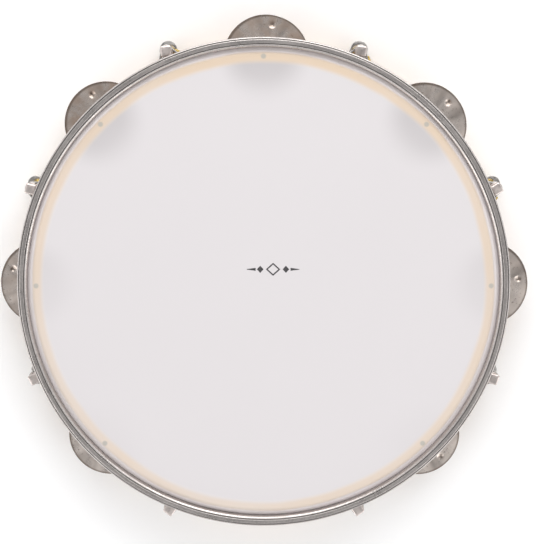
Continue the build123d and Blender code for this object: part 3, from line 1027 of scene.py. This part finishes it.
class DRUM_OT_brackets(bpy.types.Operator):
    """Soften the brackets' edges, make their nuts and finish their screws"""

    bl_idname = "drum.brackets"
    bl_label = "Brackets"

    def execute(self, context):
        scene = context.scene
        settings = scene.drum_brackets
        zinc = plated_metal("bracket_zinc", scene.drum_ears.zinc)
        for number in range(1, BOLTS + 1):
            node = f"shell_bracket_{number}"
            mesh = tidy(frame["nodes"][node].data.copy(), 1e-6)
            work = bmesh.new()
            work.from_mesh(mesh)
            bmesh.ops.dissolve_limit(
                work, angle_limit=math.radians(1), verts=work.verts, edges=work.edges
            )
            written(work, mesh).materials.clear()
            piece = shown(f"angle_bracket_{number}", mesh)
            bevel = piece.modifiers.new("edges", "BEVEL")
            bevel.width = settings.edge
            bevel.segments = 2
            bevel.limit_method = "ANGLE"
            bevel.angle_limit = math.radians(40)
            rounded = evaluated(piece)
            piece.modifiers.clear()
            piece.data = soften(rounded)
            dress(piece, "root", zinc, "zinc_steel", node)
        self.nuts(settings)
        frame["nodes"]["bracket_screws"].data.materials[0] = plated_metal(
            "screw_zinc", scene.drum_ears.zinc, 0.22, 900.0
        )
        return {"FINISHED"}

    def nuts(self, settings):
        """Chamfered hexagon nuts under the shelves, their round shoulders standing in the holes."""
        low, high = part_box("bracket_nuts")
        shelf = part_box("shell_bracket_1")[0].z
        flats = settings.flats
        corners = flats / math.sqrt(3)
        blunt = corners - 0.25 * MM
        face = flats / 2 - 0.1 * MM
        bore = 2.56 * MM
        edge = 0.45 * MM
        loops = [
            sided_loop(flats, face, low.z, 6),
            sided_loop(flats, blunt, low.z + edge * 0.6, 6),
            sided_loop(flats, corners, low.z + edge, 6),
            sided_loop(flats, corners, shelf - edge, 6),
            sided_loop(flats, blunt, shelf - edge * 0.6, 6),
            sided_loop(flats, face, shelf, 6),
            round_loop(settings.shoulder, shelf),
            round_loop(settings.shoulder, high.z - edge / 2),
            round_loop(settings.shoulder - edge / 2, high.z),
            round_loop(bore + edge / 2, high.z),
            round_loop(bore, high.z - edge / 2),
            round_loop(bore, low.z + edge),
            round_loop(bore + edge, low.z),
        ]
        nut = loft(loops, closed=True)
        nut.transform(Matrix.Translation((bolt_axis(1).to_2d().length, 0, 0)))
        brass = plated_metal("nut_yellow_zinc", settings.yellow, 0.24, 600.0)
        piece = round_the_drum().run(
            "hexagon_nuts", nut, count=BOLTS, first_angle=PITCH / 2, pitch=PITCH, material=brass
        )
        soften(tidy(piece.data), 25)
        dress(piece, "root", brass, "yellow_zinc", "bracket_nuts")


class DRUM_OT_jingles(bpy.types.Operator):
    """Press the jingle plates and put in their pins"""

    bl_idname = "drum.jingles"
    bl_label = "Jingles"

    def execute(self, context):
        scene = context.scene
        settings = scene.drum_jingles
        self.pins(settings)
        tree = jingle_plate()
        for number in range(1, STATIONS + 1):
            for which, (layer, roll) in enumerate((("lower", math.pi), ("upper", 0.0))):
                node = f"{layer}_jingle_{number}"
                centre = middle(node)
                low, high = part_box(node)
                rim = low.z if layer == "upper" else high.z
                seed = 2 * number + which
                turn = 1.1 * seed
                seen_turn = turn if layer == "upper" else -turn
                metal = jingle_finish(
                    f"jingle_nickel_{layer}_{number}", centre, settings, TARNISH[number - 1],
                    seen_turn,
                )
                piece = tree.run(
                    f"{layer}_jingle_plate_{number}", self.section(settings, outer_radius(node)),
                    segments=240, dimples=settings.dimples, dimple_ring=settings.dimple_ring,
                    dimple_radius=settings.dimple, dimple_depth=settings.dimple_depth,
                    dimple_turn=turn, wave=settings.wave, seed=float(seed), roll=roll,
                    place=(centre.x, centre.y, rim), material=metal,
                )
                soften(tidy(piece.data), 50)
                dress(piece, node, metal, "jingle_nickel", node)
        return {"FINISHED"}

    def section(self, settings, rim):
        """The plate's section, drawn out from the dimple ring: cup, dish and rim."""
        cup_height = 3.2 * MM

        def height(radius):
            fall = (radius - settings.cup) / (settings.foot - settings.cup)
            fall = min(1.0, max(0.0, fall))
            ease = fall * fall * (3 - 2 * fall)
            dish = settings.dish * (rim - radius) / (rim - settings.foot)
            return (1 - ease) * cup_height + ease * min(settings.dish, max(0.0, dish))

        fine_from = settings.dimple_ring - 1.5 * settings.dimple
        fine_to = settings.dimple_ring + 1.5 * settings.dimple
        stops = [(settings.hole, fine_from, 16), (fine_from, fine_to, 14), (fine_to, rim, 5)]
        radii = [a + (b - a) * i / n for a, b, n in stops for i in range(n)] + [rim]
        under = [(r - settings.dimple_ring, height(r)) for r in radii]
        above = [(out, up + settings.sheet) for out, up in reversed(under)]
        return outline_curve("jingle_section", under + above)

    def pins(self, settings):
        """Straight wire pins with domed ends, one for each slot."""
        low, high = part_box("jingle_pin_1")
        radius = (high.x - low.x) / 2
        dome = 0.35 * MM
        loops = [
            round_loop(radius * 0.6, low.z, 32),
            round_loop(radius, low.z + dome, 32),
            round_loop(radius, high.z - dome, 32),
            round_loop(radius * 0.85, high.z - dome * 0.35, 32),
            round_loop(radius * 0.45, high.z, 32),
        ]
        wire = plated_metal("pin_wire", settings.wire, 0.3, 800.0)
        for number in range(1, STATIONS + 1):
            centre = middle(f"jingle_pin_{number}")
            mesh = loft(loops)
            mesh.transform(Matrix.Translation((centre.x, centre.y, 0)))
            piece = shown(f"wire_pin_{number}", soften(mesh))
            dress(piece, "root", wire, "pin_steel", f"jingle_pin_{number}")


class DRUM_OT_stage(bpy.types.Operator):
    """Set up the floor, the lights and the camera"""

    bl_idname = "drum.stage"
    bl_label = "Stage"

    def execute(self, context):
        scene = context.scene
        settings = scene.drum_stage
        size = 6.0
        corners = [(-size, -size, 0), (size, -size, 0), (size, size, 0), (-size, size, 0)]
        mesh = bpy.data.meshes.new("floor")
        mesh.from_pydata(corners, [], [(0, 1, 2, 3)])
        floor = shown("floor", mesh)
        finish = Finish("floor_paper")
        grain = finish.noise(400.0)
        colour = finish.mix(grain, settings.floor, tint(settings.floor, 0.985))
        mesh.materials.append(finish.close(colour, finish.spread(grain, 0.3, 0.7, 0.85, 0.95)))
        self.light("key", place=(0.25, 1.9, 1.0), size=2.4, power=52.0)
        self.light("fill_left", place=(-1.5, -1.0, 0.9), size=1.8, power=17.0)
        self.light("fill_right", place=(1.5, -1.2, 1.0), size=1.8, power=17.0)
        world = bpy.data.worlds.new("soft_room")
        world.use_nodes = True
        room = Tree(world.node_tree)
        way = room.add("ShaderNodeTexCoord").outputs["Generated"]
        upwards = room.split(way)[2]
        at_sides, overhead = 0.85, 0.48
        strength = room.spread(upwards, 0.55, 0.985, at_sides, overhead)
        background = world.node_tree.nodes["Background"]
        background.inputs["Color"].default_value = (0.98, 0.985, 1.0, 1)
        world.node_tree.links.new(strength, background.inputs["Strength"])
        scene.world = world
        scene.view_settings.view_transform = "Standard"
        self.camera(scene, settings)
        return {"FINISHED"}

    def light(self, name, place, size, power):
        """A square soft light that faces the drum."""
        data = bpy.data.lights.new(name, "AREA")
        data.size = size
        data.energy = power
        lamp = bpy.data.objects.new(name, data)
        lamp.location = place
        lamp.rotation_euler = (-Vector(place)).to_track_quat("-Z", "Y").to_euler()
        bpy.context.scene.collection.objects.link(lamp)

    def camera(self, scene, settings):
        """A camera just off the drum's axis, leaning from the side opposite the hand hold."""
        data = bpy.data.cameras.new("camera")
        data.sensor_width = 36.0
        data.lens = data.sensor_width * settings.distance / settings.width
        data.clip_start = 0.01
        camera = bpy.data.objects.new("camera", data)
        turn = Matrix.Rotation(-settings.tilt, 4, "X")
        target = Vector((settings.sideways, settings.upwards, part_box("tension_hoop")[1].z))
        place = target + turn @ Vector((0, 0, settings.distance))
        camera.matrix_world = Matrix.Translation(place) @ turn
        scene.collection.objects.link(camera)
        scene.camera = camera


OPERATORS = (
    DRUM_OT_shell, DRUM_OT_head, DRUM_OT_hoop, DRUM_OT_ears, DRUM_OT_bolts, DRUM_OT_brackets,
    DRUM_OT_jingles, DRUM_OT_stage,
)


class DRUM_PT_panel(bpy.types.Panel):
    """Sizes, colours and steps of the drum"""

    bl_idname = "DRUM_PT_panel"
    bl_label = "Frame Drum"
    bl_space_type = "VIEW_3D"
    bl_region_type = "UI"
    bl_category = "Drum"

    def draw(self, context):
        for (key, settings), operator in zip(SETTINGS.items(), OPERATORS):
            box = self.layout.box()
            for name in settings.__annotations__:
                box.prop(getattr(context.scene, key), name)
            box.operator(operator.bl_idname)


def register():
    for cls in (*SETTINGS.values(), *OPERATORS, DRUM_PT_panel):
        bpy.utils.register_class(cls)
    for key, settings in SETTINGS.items():
        setattr(bpy.types.Scene, key, bpy.props.PointerProperty(type=settings))


def unregister():
    for key in SETTINGS:
        delattr(bpy.types.Scene, key)
    for cls in (DRUM_PT_panel, *OPERATORS[::-1], *SETTINGS.values()):
        bpy.utils.unregister_class(cls)


def main():
    register()
    bpy.ops.drum.stage()
    bpy.ops.drum.shell()
    bpy.ops.drum.head()
    bpy.ops.drum.hoop()
    bpy.ops.drum.ears()
    bpy.ops.drum.bolts()
    bpy.ops.drum.brackets()
    bpy.ops.drum.jingles()


if __name__ == "__main__":
    main()
